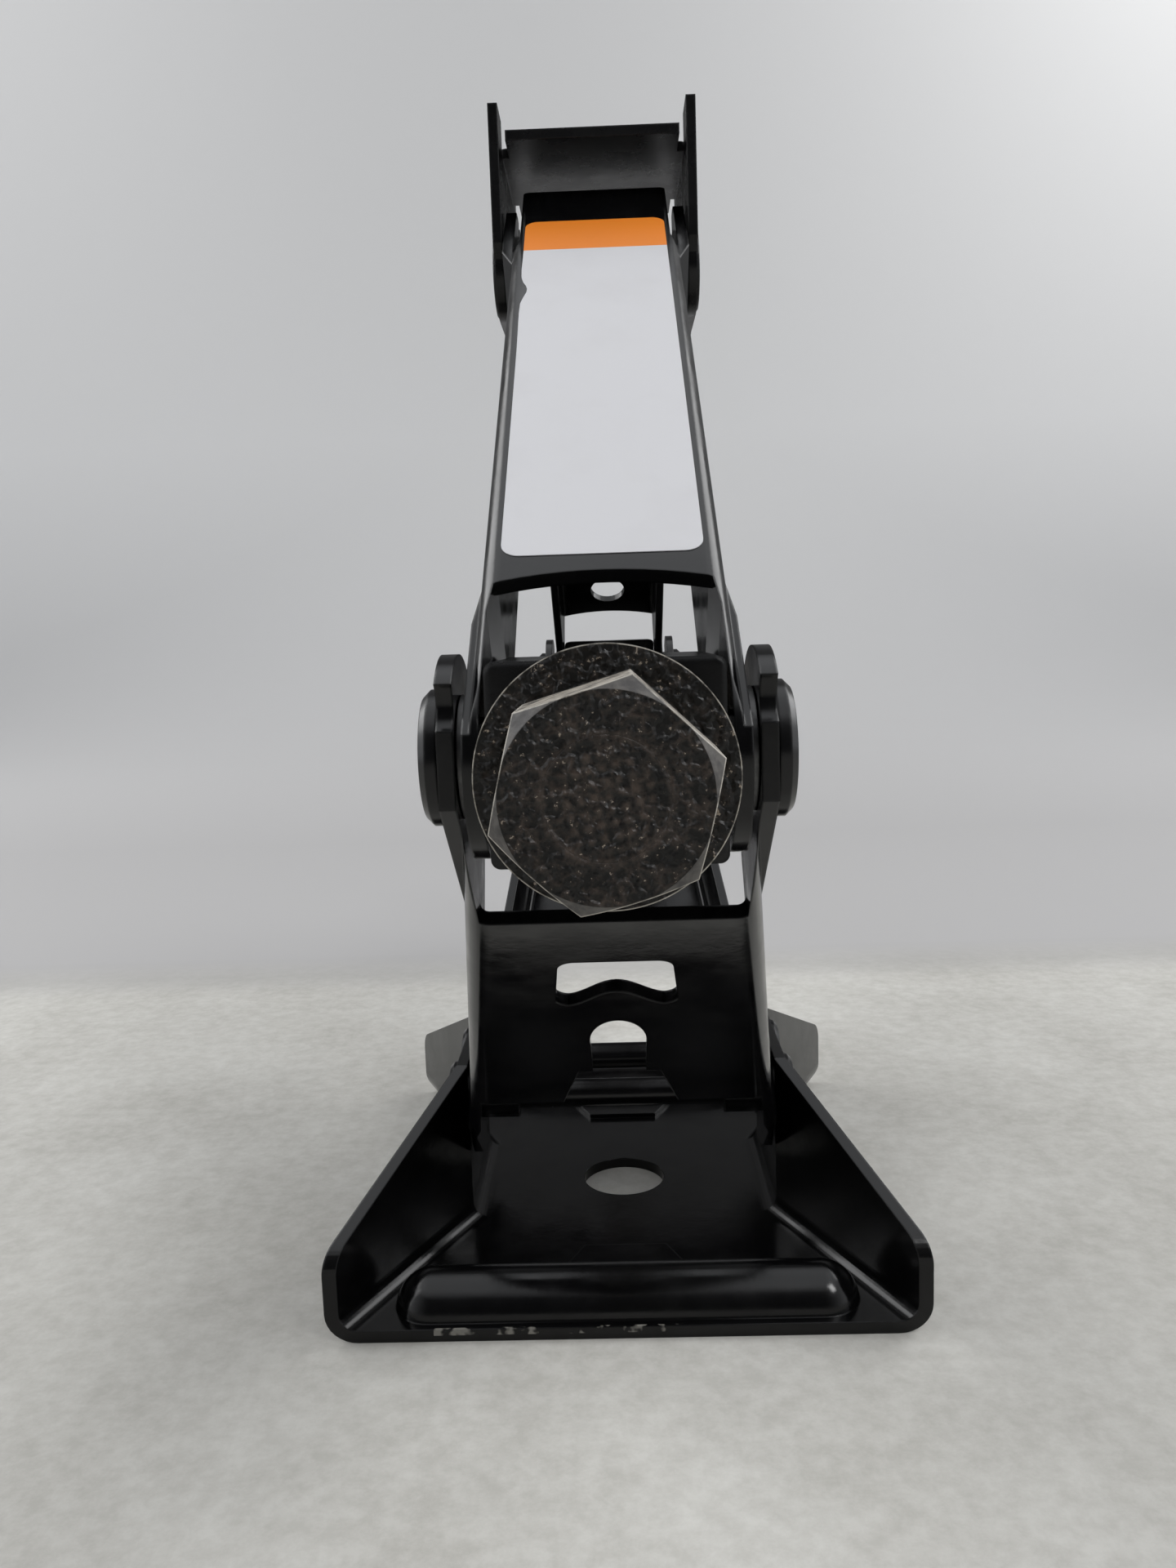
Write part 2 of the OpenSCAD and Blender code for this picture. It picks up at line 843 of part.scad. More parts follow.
// A rectangle with rounded corners.
module rounded(x, y) {
  square([2 * x, 2 * (y - block_edge)], center = true);
  square([2 * (x - block_edge), 2 * y], center = true);
  for (i = [-1, 1], j = [-1, 1])
    translate([i * (x - block_edge), j * (y - block_edge)])
      circle(r = block_edge);
}

module at_front() {
  translate([0, -trunnion_y, trunnion_z])
    children();
}

module at_rear() {
  translate([0, trunnion_y, trunnion_z])
    children();
}

module front_trunnion_block() {
  color("DimGray")
    at_front()
      block(screw_r + screw_play);
}

module rear_trunnion_nut() {
  color("DimGray")
    at_rear()
      block(screw_r + nut_play);
}

module stub_pin() {
  bar_x(pin_r, trunnion_pin_in, lower_top_x + side_play);
  translate([lower_top_x + side_play, 0, 0])
    head_x(pin_head_r, pin_head_h);
}

module front_pin_right() {
  color("Silver")
    at_front()
      stub_pin();
}

module front_pin_left() {
  color("Silver")
    at_front()
      mirror([1, 0, 0])
        stub_pin();
}

module rear_pin_right() {
  color("Silver")
    at_rear()
      stub_pin();
}

module rear_pin_left() {
  color("Silver")
    at_rear()
      mirror([1, 0, 0])
        stub_pin();
}

// The ring between the upper and the lower arm pads.
module spacer() {
  difference() {
    bar_x(spacer_r, upper_top_x + side_play, upper_top_x + side_play + spacer_h);
    bar_x(pin_r, 0, big);
  }
}

module front_spacer_right() {
  color("Gray")
    at_front()
      spacer();
}

module front_spacer_left() {
  color("Gray")
    at_front()
      mirror([1, 0, 0])
        spacer();
}

module rear_spacer_right() {
  color("Gray")
    at_rear()
      spacer();
}

module rear_spacer_left() {
  color("Gray")
    at_rear()
      mirror([1, 0, 0])
        spacer();
}

// Screw.

module on_screw() {
  translate([0, 0, trunnion_z])
    children();
}

module lead_screw() {
  color("Silver")
    on_screw() {
      bar_y(spigot_r, head_front_y, flange_back_y);
      bar_y(screw_r, flange_back_y, screw_tail_y);
    }
}

module drive_head() {
  hex_r = hex_af / sqrt(3);
  color("DarkSlateGray")
    on_screw()
      difference() {
        union() {
          intersection() {
            translate([0, flange_front_y, 0])
              rotate([90, 0, 0])
                rotate([0, 0, hex_turn])
                  cylinder(r = hex_r, h = hex_l, $fn = 6);
            translate([0, head_front_y, 0])
              rotate([-90, 0, 0]) {
                cylinder(r1 = hex_af * half, r2 = hex_r, h = hex_edge);
                translate([0, 0, hex_edge])
                  cylinder(r = hex_r, h = hex_l);
              }
          }
          bar_y(flange_r, flange_front_y, flange_back_y);
        }
        bar_y(spigot_r, -2 * big, 0);
      }
}

// A bearing race: a ring with a ball groove at y = groove_y.
module race(y0, groove_y) {
  on_screw()
    difference() {
      bar_y(bearing_r, y0, y0 + race_h);
      bar_y(screw_r + ring_play, -2 * big, 0);
      translate([0, groove_y, 0])
        rotate([90, 0, 0])
          rotate_extrude()
            translate([ball_track_r, 0])
              circle(r = ball_r + ball_play, $fn = 48);
    }
}

race_a_y = flange_back_y;
balls_y = race_a_y + race_h + ball_gap / 2;
race_b_y = race_a_y + race_h + ball_gap;

module race_head_side() {
  color("Silver")
    race(race_a_y, balls_y);
}

module race_block_side() {
  color("Silver")
    race(race_b_y, balls_y);
}

module ball_places() {
  on_screw()
    for (i = [0:ball_count - 1])
      rotate([0, i * 360 / ball_count, 0])
        translate([ball_track_r, balls_y, 0])
          children();
}

module bearing_balls() {
  color("White")
    ball_places()
      sphere(r = ball_r, $fn = 32);
}

module ball_cage() {
  color("Goldenrod")
    difference() {
      on_screw()
        difference() {
          bar_y(bearing_r - ring_play, balls_y - cage_h / 2, balls_y + cage_h / 2);
          bar_y(screw_r + 2 * ring_play, -2 * big, 0);
        }
      ball_places()
        bar_y(ball_r + ball_play, -cage_h, cage_h);
    }
}

module bearing_washer() {
  color("Gray")
    on_screw()
      difference() {
        bar_y(bearing_r, race_b_y + race_h, race_b_y + race_h + washer_h);
        bar_y(screw_r + ring_play, -2 * big, 0);
      }
}

module screw_collar() {
  y0 = -trunnion_y + block_y + collar_gap;
  color("Gray")
    on_screw()
      difference() {
        bar_y(collar_r, y0, y0 + collar_h);
        bar_y(screw_r, -big, big);
      }
}

module screw_end_stop() {
  color("Gray")
    on_screw()
      difference() {
        bar_y(collar_r, screw_tail_y - stop_h, screw_tail_y);
        bar_y(screw_r, 0, 2 * big);
      }
}

base_plate();
base_pin_front();
base_pin_rear();
front_lower_arm();
rear_lower_arm();
front_upper_arm();
rear_upper_arm();
saddle();
saddle_pin_front();
saddle_pin_rear();
front_trunnion_block();
rear_trunnion_nut();
front_pin_right();
front_pin_left();
rear_pin_right();
rear_pin_left();
front_spacer_right();
front_spacer_left();
rear_spacer_right();
rear_spacer_left();
lead_screw();
drive_head();
race_head_side();
race_block_side();
bearing_balls();
ball_cage();
bearing_washer();
screw_collar();
screw_end_stop();
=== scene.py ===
import json
import math

import bmesh
import bpy
from mathutils import Matrix, Vector


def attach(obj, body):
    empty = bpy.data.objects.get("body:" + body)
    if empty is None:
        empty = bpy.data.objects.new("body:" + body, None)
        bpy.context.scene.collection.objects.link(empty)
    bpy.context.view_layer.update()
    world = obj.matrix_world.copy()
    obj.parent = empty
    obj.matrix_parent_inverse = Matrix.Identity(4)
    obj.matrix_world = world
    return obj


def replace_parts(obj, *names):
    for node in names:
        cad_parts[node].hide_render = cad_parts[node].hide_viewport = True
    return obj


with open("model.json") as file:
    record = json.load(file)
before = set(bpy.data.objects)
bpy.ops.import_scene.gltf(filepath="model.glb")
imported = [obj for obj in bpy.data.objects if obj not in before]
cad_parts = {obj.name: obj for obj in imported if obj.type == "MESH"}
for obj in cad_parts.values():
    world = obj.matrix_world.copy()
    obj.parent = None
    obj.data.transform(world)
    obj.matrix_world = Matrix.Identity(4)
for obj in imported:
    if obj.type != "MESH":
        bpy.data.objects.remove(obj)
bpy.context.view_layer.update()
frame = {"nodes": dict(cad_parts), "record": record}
MM = 0.001

# The linkage as it stands in the photograph, in millimetres.
ARM_ANGLE = math.radians(39.4)
ARM_LENGTH = 145.0
BASE_PIVOT_Y = 12.0
BASE_PIVOT_Z = 29.3
SCREW_Y = -(BASE_PIVOT_Y + ARM_LENGTH * math.cos(ARM_ANGLE))
SCREW_Z = BASE_PIVOT_Z + ARM_LENGTH * math.sin(ARM_ANGLE)

# From the front trunnion's pivot outwards: block, bearing with flange, hexagon.
BLOCK_HALF = 13.1
BEARING_LENGTH = 14.7
HEX_LENGTH = 15.4
HEAD_FRONT_Y = SCREW_Y - BLOCK_HALF - BEARING_LENGTH - HEX_LENGTH
HEX_HALF = 10.5
HEX_CORNER_R = 12.12
HEX_TURN = 16.4
FLANGE_R = 14.64

# The screw.
SCREW_LENGTH = 332.0
COLLAR_LENGTH = 6.4
CREST_R = 7.0
ROOT_R = 5.6
SPIGOT_R = 6.2
SPIGOT_START = 6.0
SPIGOT_END = 18.8
PITCH = 3.0

# The outer face of the upper arm's web, from the line between its pivots.
ARM_FACE = 14.1


# Materials. Each is made from plain nodes on Object coordinates.

def linear(code):
    """An sRGB hex value as a linear colour."""
    values = [int(code[i:i + 2], 16) / 255 for i in (1, 3, 5)]
    return tuple(v / 12.92 if v <= 0.04045 else ((v + 0.055) / 1.055) ** 2.4 for v in values) + (1,)


def feed(tree, node, inputs):
    """Gives a node's inputs, by name or in order, a value or another node's output."""
    for key, value in inputs.items() if isinstance(inputs, dict) else enumerate(inputs):
        if isinstance(value, bpy.types.NodeSocket):
            tree.links.new(value, node.inputs[key])
        else:
            node.inputs[key].default_value = value


def add(tree, kind, inputs=(), out=0, **settings):
    """Adds a node with its settings and links, and returns one of its outputs."""
    node = tree.nodes.new("ShaderNode" + kind)
    for key, value in settings.items():
        setattr(node, key, value)
    feed(tree, node, inputs)
    return node.outputs[out]


# Settings that many nodes share. A MapRange node takes a value, the two ends that it comes from and
# the two that it goes to. A Mix node's ends are inputs 6 and 7 for colours, 2 and 3 for numbers.
TIMES ={"operation": "MULTIPLY"}
PLUS = {"operation": "ADD"}
TIMES_PLUS = {"operation": "MULTIPLY_ADD"}
LARGER = {"operation": "MAXIMUM"}
BELOW = {"operation": "LESS_THAN"}
WITHIN = {"operation": "COMPARE"}
DISTANCE = {"operation": "ABSOLUTE"}
DOT = {"operation": "DOT_PRODUCT", "out": "Value"}
COLOUR = {"data_type": "RGBA", "out": 2}


def per_mm(size):
    """Scale of a pattern whose grains are size millimetres wide."""
    return 1 / (size * MM)


def start(name):
    """A new material with its node tree, its shader and the Object coordinates."""
    material = bpy.data.materials.new(name)
    material.use_nodes = True
    tree = material.node_tree
    return material, tree, tree.nodes["Principled BSDF"], add(tree, "TexCoord", out="Object")


LIP_FRONT_Y = -63.4
LIP_SPOTS_X = -14
LIP_SPOTS_REACH = 24
LIP_MIDDLE_Z = 2.15
LIP_HALF_Z = 0.85


def lip_wear_and_glints(tree, place):
    """Where the paint is rubbed through along the front edge of the base floor, painted light grey both as
    worn paint and as painted glints off the scratched edge.
    """
    x, y, z = add(tree, "SeparateXYZ", (place,)).node.outputs
    grain = add(tree, "TexNoise", {"Vector": place, "Scale": per_mm(3.4), "Detail": 2, "Roughness": 0.55})
    spots = add(tree, "MapRange", (grain, 0.54, 0.62))
    for inside in (add(tree, "Math", (y, LIP_FRONT_Y * MM), **BELOW),
                   add(tree, "Math", (x, LIP_SPOTS_X * MM, LIP_SPOTS_REACH * MM), **WITHIN),
                   add(tree, "Math", (z, LIP_MIDDLE_Z * MM, LIP_HALF_Z * MM), **WITHIN)):
        spots = add(tree, "Math", (spots, inside), **TIMES)
    return spots


def dip_coat(name, dark, light, dust, rough, worn_glinting_lip=False, edge_mm=0.45):
    """Black electro-dip paint on pressed sheet: glossy, a little uneven, with a thin film of dust."""
    material, tree, shader, place = start(name)
    cloud = add(tree, "TexNoise", {"Vector": place, "Scale": per_mm(38), "Detail": 4, "Roughness": 0.55})
    patch = add(tree, "MapRange", (cloud, 0.35, 0.7))
    tone = add(tree, "Mix", {0: patch, 6: linear(dark), 7: linear(light)}, **COLOUR)
    grit = add(tree, "TexNoise", {"Vector": place, "Scale": per_mm(1.7), "Detail": 6, "Roughness": 0.7})
    film = add(tree, "MapRange", (grit, 0.55, 0.85, 0.0, 0.6))
    tone = add(tree, "Mix", {0: film, 6: tone, 7: linear(dust)}, **COLOUR)
    if worn_glinting_lip:
        # Light grey spots on the front lip: worn paint, and painted glints standing in for reflections on the
        # scratched edge.
        tone = add(tree, "Mix", {0: lip_wear_and_glints(tree, place), 6: tone, 7: linear("#77756f")}, **COLOUR)
    blush = add(tree, "TexNoise", {"Vector": place, "Scale": per_mm(11), "Detail": 5, "Roughness": 0.55})
    gloss = add(tree, "MapRange", (blush, 0.3, 0.7, rough - 0.05, rough + 0.1))

    # Sharp edges are rounded as the paint rounds them; then orange peel, then slack sheet.
    edges = add(tree, "Bevel", {"Radius": edge_mm * MM}, samples=4)
    peel = add(tree, "TexNoise", {"Vector": place, "Scale": per_mm(1.3), "Detail": 2, "Roughness": 0.55})
    skin = add(tree, "Bump", {"Height": peel, "Distance": 0.012 * MM, "Strength": 1.0, "Normal": edges})
    slack = add(tree, "TexNoise", {"Vector": place, "Scale": per_mm(13), "Detail": 2, "Roughness": 0.55})
    sheet = add(tree, "Bump", {"Height": slack, "Distance": 0.1 * MM, "Strength": 0.7, "Normal": skin})
    feed(tree, shader, {"Base Color": tone, "Roughness": gloss, "Normal": sheet, "IOR": 1.4})
    return material


def plain_metal(name, tone, darker, rough, grain_mm, metallic=1.0):
    """Turned or rolled steel, or a moulded part, with a little oil: fine marks and darker patches."""
    material, tree, shader, place = start(name)
    marks = add(tree, "TexNoise", {"Vector": place, "Scale": per_mm(grain_mm), "Detail": 5, "Roughness": 0.6})
    oil = add(tree, "TexNoise", {
        "Vector": place, "Scale": per_mm(grain_mm * 9), "Detail": 4, "Roughness": 0.55})
    stain =add(tree, "MapRange", (oil, 0.35, 0.7))
    colour = add(tree, "Mix", {0: stain, 6: linear(tone), 7: linear(darker)}, **COLOUR)
    gloss = add(tree, "MapRange", (marks, 0.3, 0.7, rough - 0.08, rough + 0.12))
    edges = add(tree, "Bevel", {"Radius": 0.2 * MM}, samples=4)
    scored = add(tree, "Bump", {"Height": marks, "Distance": 0.01 * MM, "Strength": 0.8, "Normal": edges})
    feed(tree, shader, {"Base Color": colour, "Roughness": gloss, "Normal": scored, "Metallic": metallic})
    return material


RING_R = 6.3
DOT_SPACING = 1.35
DOT_TURNS = (12, 102)
FACE_DEPTH = 1.0


def forged_head():
    """Hot forged steel under black oxide: granular face and flange, smooth grey corners, rubbed edges."""
    material, tree, shader, place = start("black_forged_drive_head")
    # The same place in millimetres from the middle of the head's face.
    spot = add(tree, "Mapping", {"Vector": place, "Location": (0, -HEAD_FRONT_Y, -SCREW_Z),
                                 "Scale": (1 / MM, 1 / MM, 1 / MM)})
    depth = add(tree, "SeparateXYZ", (spot,), "Y")
    flat_spot = add(tree, "VectorMath", (spot, (1, 0, 1)), **TIMES)
    radius = add(tree, "VectorMath", (flat_spot,), "Value", operation="LENGTH")

    # The head's surfaces, told apart by the way they face and by their depth.
    facing = add(tree, "SeparateXYZ", (add(tree, "TexCoord", out="Normal"),), "Y")
    front = add(tree, "Math", (facing, -0.9), **BELOW)
    face = add(tree, "Math", (front, add(tree, "Math", (depth, FACE_DEPTH), **BELOW)), **TIMES)
    corner = add(tree, "Math", (facing, -0.65, 0.25), **WITHIN)
    square = add(tree, "Math", (facing, -0.4), operation="GREATER_THAN")
    on_hex = add(tree, "Math", (depth, HEX_LENGTH - 0.1), **BELOW)
    side = add(tree, "Math", (square, on_hex), **TIMES)

    # Distance from the axis measured square to the nearest hexagon side.
    reach = 0.0
    for k in range(3):
        a = math.radians(HEX_TURN + 30 + 60 * k)
        across = add(tree, "VectorMath", (spot, (math.cos(a), 0, math.sin(a))), **DOT)
        reach = add(tree, "Math", (add(tree, "Math", (across,), **DISTANCE), reach), **LARGER)

    fine = add(tree, "MapRange", (add(tree, "TexNoise", {
        "Vector": place, "Scale": per_mm(0.75), "Detail": 5, "Roughness": 0.65}), 0.34, 0.66))
    coarse = add(tree, "MapRange", (add(tree, "TexNoise", {
        "Vector": place, "Scale": per_mm(2.2), "Detail": 4, "Roughness": 0.6}), 0.34, 0.66))

    # Marks on the face alone: scale ridges, a turned ring and a patch of pressed dots.
    cells = add(tree, "TexVoronoi", {"Vector": place, "Scale": per_mm(1.3)}, "Distance",
                feature="DISTANCE_TO_EDGE")
    ridges = add(tree, "Math", (add(tree, "MapRange", (cells, 0.0, 0.22, 1.0, 0.0)),
                                add(tree, "Math", (coarse, 0.8), **TIMES)), **TIMES)
    from_ring = add(tree, "Math", (add(tree, "Math", (radius, -RING_R), **PLUS),), **DISTANCE)
    ring = add(tree, "MapRange", (from_ring, 0.1, 0.6, 1.0, 0.0))
    dots = add(tree, "MapRange", (radius, 4.2, 5.6, 1.0, 0.0))
    for turn in DOT_TURNS:
        a = math.radians(turn)
        steps = math.tau / DOT_SPACING
        along = add(tree, "VectorMath", (spot, (math.cos(a) * steps, 0, math.sin(a) * steps)), **DOT)
        wave = add(tree, "MapRange", (add(tree, "Math", (along,), operation="SINE"), -1.0, 1.0))
        dots = add(tree, "Math", (wave, dots), **TIMES)
    marks = add(tree, "Math", (ring, 0.7, ridges), **TIMES_PLUS)
    marks = add(tree, "Math", (dots, 1.2, marks), **TIMES_PLUS)

    relief = add(tree, "Math", (fine, 0.8, add(tree, "Math", (coarse, 0.7), **TIMES)), **TIMES_PLUS)
    height = add(tree, "Math", (marks, face, relief), **TIMES_PLUS)
    tone = add(tree, "Mix", {0: add(tree, "MapRange", (height, 0.7, 2.4)),
                             6: linear("#050403"), 7: linear("#453b34")}, **COLOUR)
    tone = add(tree, "Mix", {0: add(tree, "MapRange", (fine, 0.9, 1.0, 0.0, 0.9)),
                             6: tone, 7: linear("#94897c")}, **COLOUR)
    # The hexagon's side facets are painted lighter all over: dust, and a painted sheen for the highlight
    # bands on them.
    dust_and_sheen = add(tree, "Mix", {0: add(tree, "MapRange", (coarse, 0.1, 0.7)),
                              6: linear("#3f3c38"), 7: linear("#a39c91")}, **COLOUR)
    tone = add(tree, "Mix", {0: side, 6: tone, 7: dust_and_sheen}, **COLOUR)
    smooth = add(tree, "Mix", {0: add(tree, "MapRange", (coarse, 0.2, 0.8)),
                               6: linear("#393736"), 7: linear("#575451")}, **COLOUR)
    tone = add(tree, "Mix", {0: corner, 6: tone, 7: smooth}, **COLOUR)

    # Edges rubbed bright: round the face, round the facets' ends, along the hexagon and the flange.
    near_side = add(tree, "MapRange", (reach, HEX_HALF - 0.14, HEX_HALF - 0.04))
    face_edge = add(tree, "Math", (near_side, add(tree, "Math", (corner, face), **LARGER)), **TIMES)
    behind = add(tree, "Math", (add(tree, "Math", (radius, -1.0, depth), **TIMES_PLUS), HEX_HALF), **PLUS)
    facet_edge = add(tree, "Math", (side, add(tree, "MapRange", (behind, 0.05, 0.3, 1.0, 0.0))), **TIMES)
    near_corner = add(tree, "MapRange", (radius, HEX_CORNER_R - 0.17, HEX_CORNER_R - 0.04))
    long_edge = add(tree, "Math", (side, near_corner), **TIMES)
    near_rim = add(tree, "MapRange", (radius, FLANGE_R - 0.16, FLANGE_R - 0.08))
    flange_front = add(tree, "Math", (depth, HEX_LENGTH + 0.2), **BELOW)
    rubbed = add(tree, "Math", (near_rim, flange_front), **TIMES)
    for edge in (face_edge, facet_edge, long_edge):
        rubbed = add(tree, "Math", (edge, rubbed), **LARGER)
    rubbed = add(tree, "Math", (rubbed, add(tree, "MapRange", (coarse, 0.1, 0.5, 0.25, 1.0))), **TIMES)
    tone = add(tree, "Mix", {0: rubbed, 6: tone, 7: linear("#b9b4aa")}, **COLOUR)

    # The relief that the light shows is smoother than the tone: pits and ridges a little over 1 mm wide.
    pits = add(tree, "MapRange", (add(tree, "TexNoise", {
        "Vector": place, "Scale": per_mm(1.3), "Detail": 1.5, "Roughness": 0.5}), 0.4, 0.6))
    swell = add(tree, "Math", (marks, add(tree, "Math", (face, 0.35), **TIMES), pits), **TIMES_PLUS)
    edges = add(tree, "Bevel", {"Radius": 0.25 * MM}, samples=4)
    grain = add(tree, "Bump", {"Height": swell, "Distance": 0.24 * MM, "Normal": edges,
                               "Strength": add(tree, "MapRange", (corner, 0.0, 1.0, 1.0, 0.1))})
    feed(tree, shader, {"Base Color": tone, "Normal": grain, "Specular IOR Level": 0.35, "IOR": 1.5,
                        "Roughness": add(tree, "MapRange", (fine, 0.0, 1.0, 0.33, 0.55))})
    return material


def vinyl_film(name, tone, shade):
    """Printed vinyl film: smooth, slightly glossy, faint dirt."""
    material, tree, shader, place = start(name)
    dirt = add(tree, "MapRange", (add(tree, "TexNoise", {
        "Vector": place, "Scale": per_mm(14), "Detail": 5, "Roughness": 0.55}), 0.5, 0.9, 0.0, 0.5))
    colour = add(tree, "Mix", {0: dirt, 6: linear(tone), 7: linear(shade)}, **COLOUR)
    lay = add(tree, "TexNoise", {"Vector": place, "Scale": per_mm(12), "Detail": 2, "Roughness": 0.55})
    waves = add(tree, "Bump", {"Height": lay, "Distance": 0.05 * MM, "Strength": 0.6})
    feed(tree, shader, {"Base Color": colour, "Roughness": 0.4, "Normal": waves})
    return material


paint = dip_coat("black_dip_paint", "#050506", "#080809", "#1a1b1d", 0.15)
base_paint = dip_coat("black_dip_paint_with_worn_lip", "#050506", "#080808", "#18181a", 0.16, worn_glinting_lip=True)
pin_paint = dip_coat("black_dip_paint_on_pins", "#070708", "#0c0c0d", "#232326", 0.2)
block_paint = dip_coat("black_dip_paint_on_blocks", "#050506", "#080809", "#1a1b1d", 0.2, edge_mm=1.3)
# The saddle's paint is a lighter copy of the black paint: painted sheen for the brighter look of its
# underside.
saddle_paint_with_painted_sheen = dip_coat("dull_black_dip_paint_on_saddle_lightened_as_painted_sheen", "#09090a", "#0d0d0e", "#242426", 0.24)
forged = forged_head()
screw_steel = plain_metal("oiled_rolled_thread", "#6d6963", "#3b3835", 0.36, 0.6)
washer_steel = plain_metal("plain_washer_steel", "#6a6a6a", "#474747", 0.4, 0.4)
bearing_steel = plain_metal("ground_bearing_steel", "#b8b8b8", "#8f8f8f", 0.2, 0.3)
cage_nylon = plain_metal("moulded_nylon", "#2a2a2a", "#202020", 0.5, 0.8, metallic=0.0)
vinyl_white = vinyl_film("white_vinyl_film", "#cfcfd2", "#c3c2c4")
vinyl_orange = vinyl_film("orange_vinyl_print", "#e6811c", "#dd7d1c")

SLOT_FINISH = {"black_coat": paint, "pin_steel": pin_paint, "washer_steel": washer_steel,
               "screw_steel": screw_steel, "forged_black": forged, "bearing_steel": bearing_steel,
               "cage_plastic": cage_nylon}
NODE_FINISH = {"base_plate": base_paint, "saddle": saddle_paint_with_painted_sheen,
               "front_trunnion_block": block_paint, "rear_trunnion_nut": block_paint}

for row in frame["record"]["subparts"]:
    slots = frame["nodes"][row["node"]].data.materials
    slots.clear()
    slots.append(NODE_FINISH.get(row["node"], SLOT_FINISH[row["material_slot"]]))


# Pieces. Each is drawn in millimetres and scaled when it is done.

def finished(mesh, name, material, body):
    """Turns a bmesh in millimetres into a piece that rides on a body."""
    bmesh.ops.remove_doubles(mesh, verts=mesh.verts, dist=0.0005)
    bmesh.ops.recalc_face_normals(mesh, faces=mesh.faces)
    bmesh.ops.scale(mesh, vec=(MM, MM, MM), verts=mesh.verts)
    data = bpy.data.meshes.new(name)
    mesh.to_mesh(data)
    mesh.free()
    piece = bpy.data.objects.new(name, data)
    bpy.context.scene.collection.objects.link(piece)
    data.materials.append(material)
    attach(piece, body)
    return piece


def turned(mesh, profile):
    """A turned solid about the Y axis from (radius, y) points."""
    verts = [mesh.verts.new((r, y, 0)) for r, y in profile]
    edges = [mesh.edges.new(pair) for pair in zip(verts, verts[1:])]
    bmesh.ops.spin(mesh, geom=verts + edges, cent=(0, 0, 0), axis=(0, 1, 0),
                   angle=math.tau, steps=64, use_merge=True)


def build_screw():
    """The lead screw with its rolled trapezoid thread, up to its riveted end in the drive head."""
    spigot_y = HEAD_FRONT_Y + SPIGOT_START
    shoulder_y = HEAD_FRONT_Y + SPIGOT_END
    thread_y = SCREW_Y + BLOCK_HALF + COLLAR_LENGTH
    tail_y = SCREW_Y + SCREW_LENGTH
    chamfer = 0.6
    mesh = bmesh.new()
    turned(mesh, [(0, spigot_y), (SPIGOT_R, spigot_y), (SPIGOT_R, shoulder_y), (CREST_R, shoulder_y),
                  (CREST_R, thread_y), (ROOT_R, thread_y + 1), (ROOT_R, tail_y - chamfer),
                  (ROOT_R - chamfer, tail_y), (0, tail_y)])

    # One ridge of the thread, wound from the collar to just short of the tail.
    turns = int((tail_y - 1.5 - thread_y) / PITCH)
    steps_a_turn = 30
    y = thread_y + 0.4
    ridge = [mesh.verts.new((r, y + along, 0)) for r, along in (
        (ROOT_R - 0.2, 0), (CREST_R, 0.85), (CREST_R, 1.65), (ROOT_R - 0.2, 2.5))]
    face = mesh.faces.new(ridge)
    bmesh.ops.spin(mesh, geom=[face] + list(face.edges) + ridge, cent=(0, 0, 0), axis=(0, 1, 0),
                   dvec=(0, PITCH / steps_a_turn, 0), angle=math.tau * turns, steps=steps_a_turn * turns)
    bmesh.ops.translate(mesh, vec=(0, 0, SCREW_Z), verts=mesh.verts)
    return finished(mesh, "threaded_screw", screw_steel, "screw")


def build_screw_end():
    """The riveted-over end of the screw, upset level with the face of the drive head."""
    mesh = bmesh.new()
    back_y = HEAD_FRONT_Y + SPIGOT_START
    turned(mesh, [(0, HEAD_FRONT_Y), (SPIGOT_R, HEAD_FRONT_Y), (SPIGOT_R, back_y), (0, back_y)])
    bmesh.ops.translate(mesh, vec=(0, 0, SCREW_Z), verts=mesh.verts)
    finished(mesh, "screw_end_face", forged, "screw")


STICKER_HALF = 14.0
STICKER_CORNER_R = 2.6
STICKER_THICK = 0.12
STICKER_GAP = 0.01
# The lifted left edge of the white film: along from its upper end, and in from its side.
LIFTED_EDGE = ((-9, -0.1), (-12, 0.0), (-14, 0.35), (-15.5, 0.9), (-17, 1.2), (-18.5, 1.1),
               (-20.5, 0.6), (-23, 0.1), (-27, 0.0), (-40, 0.1))


def sticker_outline(low, high, low_round, high_round, lifted):
    """The film's outline, counterclockwise from its lower right corner."""
    points = []
    for side, end, turn, is_round in ((1, low, -90, low_round), (1, high, 0, high_round),
                                      (-1, high, 90, high_round), (-1, low, 180, low_round)):
        if is_round:
            inward = STICKER_CORNER_R if end == low else -STICKER_CORNER_R
            for angle in range(turn, turn + 91, 15):
                a = math.radians(angle)
                points.append((side * (STICKER_HALF - STICKER_CORNER_R) + STICKER_CORNER_R * math.cos(a),
                               end + inward + STICKER_CORNER_R * math.sin(a)))
        else:
            points.append((side * STICKER_HALF, end))
        if lifted and turn == 90:
            points += [(inset - STICKER_HALF, high + along) for along, inset in LIFTED_EDGE]
    return points


